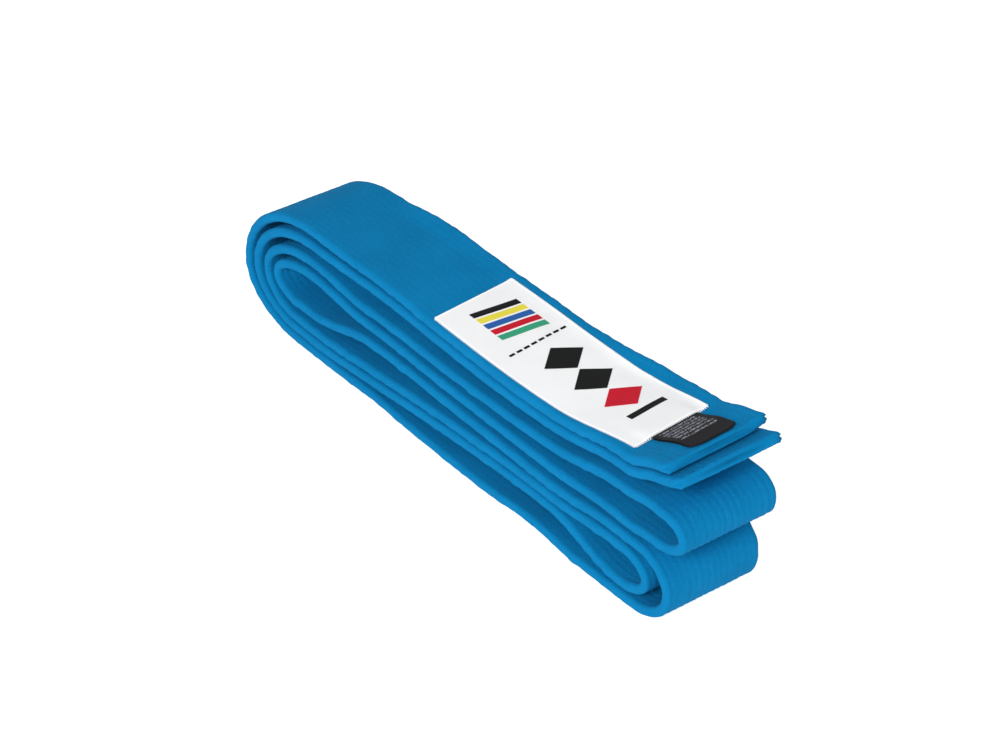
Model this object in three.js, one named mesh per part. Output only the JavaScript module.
// A martial arts belt, folded in half three times and lying flat on its lowest layer.
// Millimetres, +Z up. X runs along the folded belt, Y across its width. The origin is
// under the middle of the folded belt, on the surface that it lies on.
//
// The belt is one long strip. Layer 1 is on top and layer 8 lies on the surface. The strip
// runs: layer 1, left turn, layer 8, right turn, layer 5, left turn, layer 4, right turn,
// layer 3, left turn, layer 6, right turn, layer 7, left turn, layer 2. Layers 1 and 2
// end in the belt's two free ends, on the right.
import * as THREE from "three";

// ---- Driving dimensions -------------------------------------------------------------

const foldedLength = 293;      // overall, from the outer left turn to the lower free end
const beltWidth = 45;
const beltThickness = 4.6;

const coverWall = 1.0;         // the cotton cover, with its folded-in allowance
const edgeChamfer = 1.3;       // the cover's rounded edges
const clearance = 0.3;         // between pieces that only touch
const seamGap = 0.3;           // between neighbouring lengths of the strip

const leftFoldReach = 51.5;    // from the left end to where the left turns begin
const lowerBendInset = 12;     // the lower half of each left turn bends later than the upper
const rightFoldReach = 36.5;   // from the right end to where the lower right turns begin
const middleTurnReach = 19.5;  // from the right end to where the middle right turn begins

const leftTurnSpacing = [2.4, 2.9, 3.4];  // gaps between the nested left turns at their tips
const leftTipShare = [0.385, 0.395, 0.44, 0.44];  // height of each tip within its turn
const rightTipShare = 0.5;
const innerTurnInset = 20.2;   // from the right end to each right turn's outer face
const outerTurnInset = 9.2;
const middleTurnInset = 1.7;
const outerTurnLead = 8;       // straight stretch before the outer right turn bends

const lowerEndInset = 0.75;    // the lower free end's hem leans out to the right end
const topEndInset = 11.2;      // the upper free end stops shorter
const hemLength = 7;           // the cover turned in and sewn at each free end
const hemCornerRadius = 5;

const lowerEndHinge = 33;      // from the start of the left turns to each free end's hinge
const topEndHinge = 59;

const labelLength = 123;
const labelWidth = 38;
const labelThickness = 0.6;
const labelLift = 0.5;         // from the belt's top face, which bends, to what lies on it
const labelEndInset = 35.7;    // from the right end to the label's right edge
const stitchWidth = 1.1;       // the overcast thread round the label
const stitchHeight = 0.8;

const tagLength = 18.5;        // the part of the folded care tag that shows
const tagWidth = 23;
const tagPly = 0.45;
const tagFoldGap = 0.35;
const tagOffset = 1.8;         // the tag sits a little off the belt's middle line

// Spaces between the layers, from the lowest pair (8 and 7) to the highest (2 and 1), at
// stations along the belt. The stack is loose, and opens towards the right.
const stations = [
  { at: "leftTurns", gaps: [0.35, 0.35, 3.5, 13, 2, 3, 2] },
  { at: "leftSide", gaps: [3, 0.35, 8, 3, 2, 7, 1] },
  { at: "middle", gaps: [7.5, 0.35, 4, 2.5, 2.5, 6, 0.5] },
  { at: "rightSide", gaps: [10, 0.35, 0.5, 3.2, 5, 4, 0.5] },
  { at: "rightTurns", gaps: [1.5, 11.5, 1.2, 2, 9.5, 4.5, 0.9] },
  { at: "middleTurn", gaps: [1.5, 11.5, 1.2, 3.4, 10.5, 8.5, 1.2] },
  { at: "rightEnd", gaps: [1.5, 11.5, 1.2, 3.4, 10.5, 16, 1.2] },
];
const leftSideReach = 91.5;
const rightSideReach = 81.5;

// ---- Places worked out from the driving dimensions ----------------------------------

const leftEnd = -foldedLength / 2;
const rightEnd = foldedLength / 2;
const stationX = {
  leftTurns: leftEnd + leftFoldReach,
  leftSide: leftEnd + leftSideReach,
  middle: 0,
  rightSide: rightEnd - rightSideReach,
  rightTurns: rightEnd - rightFoldReach,
  middleTurn: rightEnd - middleTurnReach,
  rightEnd,
};
const lowerHingeX = stationX.leftTurns + lowerEndHinge;
const topHingeX = stationX.leftTurns + topEndHinge;
const lowerEndX = rightEnd - lowerEndInset;
const topEndX = rightEnd - topEndInset;

// A smooth curve through the stations that never swings past their values. It starts level
// and keeps its last slope.
function smoothThrough(xs, values) {
  const last = values.length - 1;
  const slopes = values.map((value, i) => {
    if (i === 0) return 0;
    if (i === last) return (value - values[i - 1]) / (xs[i] - xs[i - 1]);
    const before = (value - values[i - 1]) / (xs[i] - xs[i - 1]);
    const after = (values[i + 1] - value) / (xs[i + 1] - xs[i]);
    return before * after > 0 ? 2 * before * after / (before + after) : 0;
  });
  return (x) => {
    const inside = THREE.MathUtils.clamp(x, xs[0], xs[xs.length - 1]);
    const found = xs.findIndex((next) => next >= inside);
    const i = Math.max(found, 1) - 1;
    const span = xs[i + 1] - xs[i];
    const s = (inside - xs[i]) / span;
    const rise = s * s * (3 - 2 * s);
    const lead = s * (1 - s) * (1 - s) * span * slopes[i];
    const trail = s * s * (1 - s) * span * slopes[i + 1];
    return values[i] + (values[i + 1] - values[i]) * rise + lead - trail;
  };
}

const layerCount = 8;
const xs = stations.map((station) => stationX[station.at]);
const gapCurves = stations[0].gaps.map((_, pair) =>
  smoothThrough(xs, stations.map((station) => station.gaps[pair])));

// The height of a layer's middle at x. Layer 8 lies flat on the surface.
function layerHeight(layer, x) {
  let height = beltThickness / 2;
  for (let pair = 0; pair < layerCount - layer; pair += 1) {
    height += beltThickness + gapCurves[pair](x);
  }
  return height;
}

// ---- Centre lines -------------------------------------------------------------------

// A centre line in the X-Z plane whose cross-section always keeps its width along Y.
class StripLine extends THREE.CatmullRomCurve3 {
  computeFrenetFrames(steps) {
    const across = new THREE.Vector3(0, 1, 0);
    const tangents = [];
    const normals = [];
    const binormals = [];
    for (let i = 0; i <= steps; i += 1) {
      const tangent = this.getTangentAt(i / steps);
      tangents.push(tangent);
      normals.push(across.clone().cross(tangent));
      binormals.push(across.clone());
    }
    return { tangents, normals, binormals };
  }
}

const at = (x, z) => new THREE.Vector3(x, 0, z);

// The point of a layer at x, moved by a height square to the strip.
function onLayer(layer, x, height) {
  const slope = Math.atan(layerHeight(layer, x + 0.5) - layerHeight(layer, x - 0.5));
  return at(x - height * Math.sin(slope), layerHeight(layer, x) + height * Math.cos(slope));
}

// A line along a layer, at a height over its middle. A short first and last step set the
// slope of its end faces.
function layerLine(layer, fromX, toX, height = 0) {
  const endStep = 0.5;
  const count = Math.max(1, Math.round((toX - fromX) / 6));
  const places = [fromX];
  for (let i = 0; i <= count; i += 1) {
    places.push(THREE.MathUtils.lerp(fromX + endStep, toX - endStep, i / count));
  }
  places.push(toX);
  const points = places.map((x) => onLayer(layer, x, height));
  return new StripLine(points, false, "centripetal");
}

// A turn from a lower layer to an upper one: two quarter ellipses that meet at the tip,
// each after a short straight lead. side is -1 for a left turn and 1 for a right turn.
function turnLine({ side, lower, upper, startX, lowerBendX, upperBendX, tipX, tipShare }) {
  const lowZ = layerHeight(lower, startX);
  const highZ = layerHeight(upper, startX);
  const tipZ = THREE.MathUtils.lerp(lowZ, highZ, tipShare);
  const firstX = startX + side * seamGap;
  const quarterSteps = 9;
  // From the start of the bend, at i = quarterSteps, to the tip, at i = 0.
  const quarter = (bendX, endZ, i) => {
    const angle = (i / quarterSteps) * Math.PI / 2;
    const reach = (tipX - bendX) * Math.cos(angle);
    return at(bendX + reach, tipZ + (endZ - tipZ) * Math.sin(angle));
  };
  const lead = (bendX, endZ) => {
    const leadStep = 1;
    if (Math.abs(bendX - firstX) <= 2 * leadStep) return [at(firstX, endZ)];
    return [at(firstX, endZ), at(bendX - side * leadStep, endZ), at(bendX, endZ)];
  };
  const points = lead(lowerBendX, lowZ);
  for (let i = quarterSteps - 1; i >= 0; i -= 1) points.push(quarter(lowerBendX, lowZ, i));
  for (let i = 1; i < quarterSteps; i += 1) points.push(quarter(upperBendX, highZ, i));
  points.push(...lead(upperBendX, highZ).reverse());
  return new StripLine(points, false, "centripetal");
}

// ---- Sections and solids ------------------------------------------------------------

// The strip's section: x is the thickness and y the width.
function sectionShape(halfThickness, halfWidth, chamfer) {
  const shape = new THREE.Shape();
  shape.moveTo(-halfThickness, -halfWidth + chamfer);
  shape.lineTo(-halfThickness + chamfer, -halfWidth);
  shape.lineTo(halfThickness - chamfer, -halfWidth);
  shape.lineTo(halfThickness, -halfWidth + chamfer);
  shape.lineTo(halfThickness, halfWidth - chamfer);
  shape.lineTo(halfThickness - chamfer, halfWidth);
  shape.lineTo(-halfThickness + chamfer, halfWidth);
  shape.lineTo(-halfThickness, halfWidth - chamfer);
  shape.closePath();
  return shape;
}

function rectangleHole(halfThickness, halfWidth) {
  const hole = new THREE.Path();
  hole.moveTo(-halfThickness, -halfWidth);
  hole.lineTo(-halfThickness, halfWidth);
  hole.lineTo(halfThickness, halfWidth);
  hole.lineTo(halfThickness, -halfWidth);
  hole.closePath();
  return hole;
}

function rectangleShape(halfThickness, halfWidth, middle = 0) {
  const shape = new THREE.Shape();
  shape.moveTo(-halfThickness, middle - halfWidth);
  shape.lineTo(halfThickness, middle - halfWidth);
  shape.lineTo(halfThickness, middle + halfWidth);
  shape.lineTo(-halfThickness, middle + halfWidth);
  shape.closePath();
  return shape;
}

const halfThickness = beltThickness / 2;
const halfWidth = beltWidth / 2;
const coverShape = sectionShape(halfThickness, halfWidth, edgeChamfer);
coverShape.holes.push(rectangleHole(halfThickness - coverWall, halfWidth - coverWall));
const coreInset = coverWall + clearance;
const coreShape = rectangleShape(halfThickness - coreInset, halfWidth - coreInset);

const sweep = (shape, line, steps) =>
  new THREE.ExtrudeGeometry(shape, { steps, bevelEnabled: false, extrudePath: line });

// Bends a geometry that was made flat, with z as the height over a layer's middle, so that
// it follows the layer: each point keeps its height square to the strip.
function followLayer(geometry, layer) {
  const place = geometry.attributes.position;
  for (let i = 0; i < place.count; i += 1) {
    const point = onLayer(layer, place.getX(i), place.getZ(i));
    place.setXYZ(i, point.x, place.getY(i), point.z);
  }
  geometry.computeVertexNormals();
  return geometry;
}

// ---- Materials ----------------------------------------------------------------------

const finish = {
  cover: { color: 0x147ab8, roughness: 0.9, metalness: 0 },
  core: { color: 0xd9d6cc, roughness: 0.95, metalness: 0 },
  label: { color: 0xf1f1ef, roughness: 0.7, metalness: 0 },
  thread: { color: 0xfafafa, roughness: 0.6, metalness: 0 },
  tag: { color: 0x17171c, roughness: 0.7, metalness: 0 },
};

const belt = new THREE.Group();

function add(name, geometry, kind) {
  const mesh = new THREE.Mesh(geometry, new THREE.MeshStandardMaterial(finish[kind]));
  mesh.name = name;
  belt.add(mesh);
}

// One length of the strip: its cover, and the core inside it.
function addStrip(name, line, steps) {
  add(`${name}_cover`, sweep(coverShape, line, steps), "cover");
  add(`${name}_core`, sweep(coreShape, line, steps), "core");
}

const stepLength = 8;

function addLayer(name, layer, fromX, toX) {
  const steps = Math.max(2, Math.round((toX - fromX) / stepLength));
  addStrip(name, layerLine(layer, fromX, toX), steps);
}

// ---- The layers ---------------------------------------------------------------------

for (const layer of [8, 7, 6, 5]) {
  addLayer(`layer_${layer}`, layer, stationX.leftTurns, stationX.rightTurns);
}
const flapStart = stationX.leftTurns;
addLayer("layer_4", 4, flapStart, stationX.middleTurn);
addLayer("layer_3", 3, flapStart, stationX.middleTurn);
addLayer("layer_2_back", 2, flapStart, lowerHingeX);
addLayer("layer_2_end", 2, lowerHingeX + seamGap, lowerEndX - hemLength - seamGap);
addLayer("layer_1_back", 1, flapStart, lowerHingeX);
addLayer("layer_1_mid", 1, lowerHingeX + seamGap, topHingeX);
addLayer("layer_1_end", 1, topHingeX + seamGap, topEndX - hemLength - seamGap);

// ---- The turns ----------------------------------------------------------------------

const leftPairs = [[8, 1], [7, 2], [6, 3], [5, 4]];
const turnSteps = 16;
let leftTipX = leftEnd + halfThickness;
leftPairs.forEach(([lower, upper], i) => {
  if (i > 0) leftTipX += beltThickness + leftTurnSpacing[i - 1];
  addStrip(`left_turn_${upper}_${lower}`, turnLine({
    side: -1,
    lower,
    upper,
    startX: stationX.leftTurns,
    lowerBendX: stationX.leftTurns - lowerBendInset,
    upperBendX: stationX.leftTurns - seamGap,
    tipX: leftTipX,
    tipShare: leftTipShare[i],
  }), turnSteps);
});

const rightTurns = [
  { lower: 7, upper: 6, startX: stationX.rightTurns, lead: 0, inset: innerTurnInset },
  { lower: 8, upper: 5, startX: stationX.rightTurns, lead: outerTurnLead, inset: outerTurnInset },
  { lower: 4, upper: 3, startX: stationX.middleTurn, lead: 0, inset: middleTurnInset },
];
for (const { lower, upper, startX, lead, inset } of rightTurns) {
  const bendX = startX + seamGap + lead;
  addStrip(`right_turn_${upper}_${lower}`, turnLine({
    side: 1,
    lower,
    upper,
    startX,
    lowerBendX: bendX,
    upperBendX: bendX,
    tipX: rightEnd - inset - halfThickness,
    tipShare: rightTipShare,
  }), turnSteps);
}

// ---- The hemmed free ends -----------------------------------------------------------

function hemShape(endX) {
  const r = hemCornerRadius;
  const startX = endX - hemLength;
  const shape = new THREE.Shape();
  shape.moveTo(startX, -halfWidth);
  shape.lineTo(endX - r, -halfWidth);
  shape.absarc(endX - r, -halfWidth + r, r, -Math.PI / 2, 0, false);
  shape.absarc(endX - r, halfWidth - r, r, 0, Math.PI / 2, false);
  shape.lineTo(startX, halfWidth);
  shape.closePath();
  return shape;
}

for (const [name, layer, endX] of [["layer_1_hem", 1, topEndX], ["layer_2_hem", 2, lowerEndX]]) {
  const hem = new THREE.ExtrudeGeometry(hemShape(endX),
    { depth: beltThickness, bevelEnabled: false, curveSegments: 5 });
  hem.translate(0, 0, -halfThickness);
  add(name, followLayer(hem, layer), "cover");
}

// ---- The label, its stitching and the care tag --------------------------------------

const labelRight = rightEnd - labelEndInset;
const labelLeft = labelRight - labelLength;
const onTop = halfThickness + labelLift;

// A flat strip that lies on layer 1, with its underside at onTop.
function addOnTop(name, kind, [fromX, toX], [fromY, toY], thickness) {
  const section = rectangleShape(thickness / 2, (toY - fromY) / 2, (toY + fromY) / 2);
  const line = layerLine(1, fromX, toX, onTop + thickness / 2);
  const steps = Math.max(1, Math.round((toX - fromX) / stepLength));
  add(name, sweep(section, line, steps), kind);
}

const labelX = [labelLeft, labelRight];
const labelY = [-labelWidth / 2, labelWidth / 2];
addOnTop("maker_label", "label", labelX, labelY, labelThickness);

// The overcast thread runs round the label: along its two long edges and across its ends.
const beside = (edge, side) =>
  [edge + side * clearance, edge + side * (clearance + stitchWidth)].sort((a, b) => a - b);
const addStitching = (name, x, y) => addOnTop(name, "thread", x, y, stitchHeight);
addStitching("label_stitching_near", labelX, beside(labelY[0], -1));
addStitching("label_stitching_far", labelX, beside(labelY[1], 1));
addStitching("label_stitching_left", beside(labelX[0], -1), labelY);
addStitching("label_stitching_right", beside(labelX[1], 1), labelY);

// The care tag is one ribbon folded in two, with its fold on the right. Its two tails are
// caught under the label's edge.
function tagOutline(startX, endX) {
  const height = 2 * tagPly + tagFoldGap;
  const outline = new THREE.Shape();
  outline.moveTo(startX, 0);
  outline.lineTo(endX - height / 2, 0);
  outline.absarc(endX - height / 2, height / 2, height / 2, -Math.PI / 2, Math.PI / 2, false);
  outline.lineTo(startX, height);
  outline.lineTo(startX, height - tagPly);
  outline.lineTo(endX - height / 2, height - tagPly);
  outline.absarc(endX - height / 2, height / 2, tagFoldGap / 2, Math.PI / 2, -Math.PI / 2, true);
  outline.lineTo(startX, tagPly);
  outline.closePath();
  return outline;
}

const tagStart = labelRight + stitchWidth + 2 * clearance;
const tagGeometry = new THREE.ExtrudeGeometry(tagOutline(tagStart, tagStart + tagLength),
  { depth: tagWidth, bevelEnabled: false, curveSegments: 4 });
tagGeometry.rotateX(Math.PI / 2);
tagGeometry.translate(0, tagOffset + tagWidth / 2, onTop);
add("care_tag", followLayer(tagGeometry, 1), "tag");

export default belt;
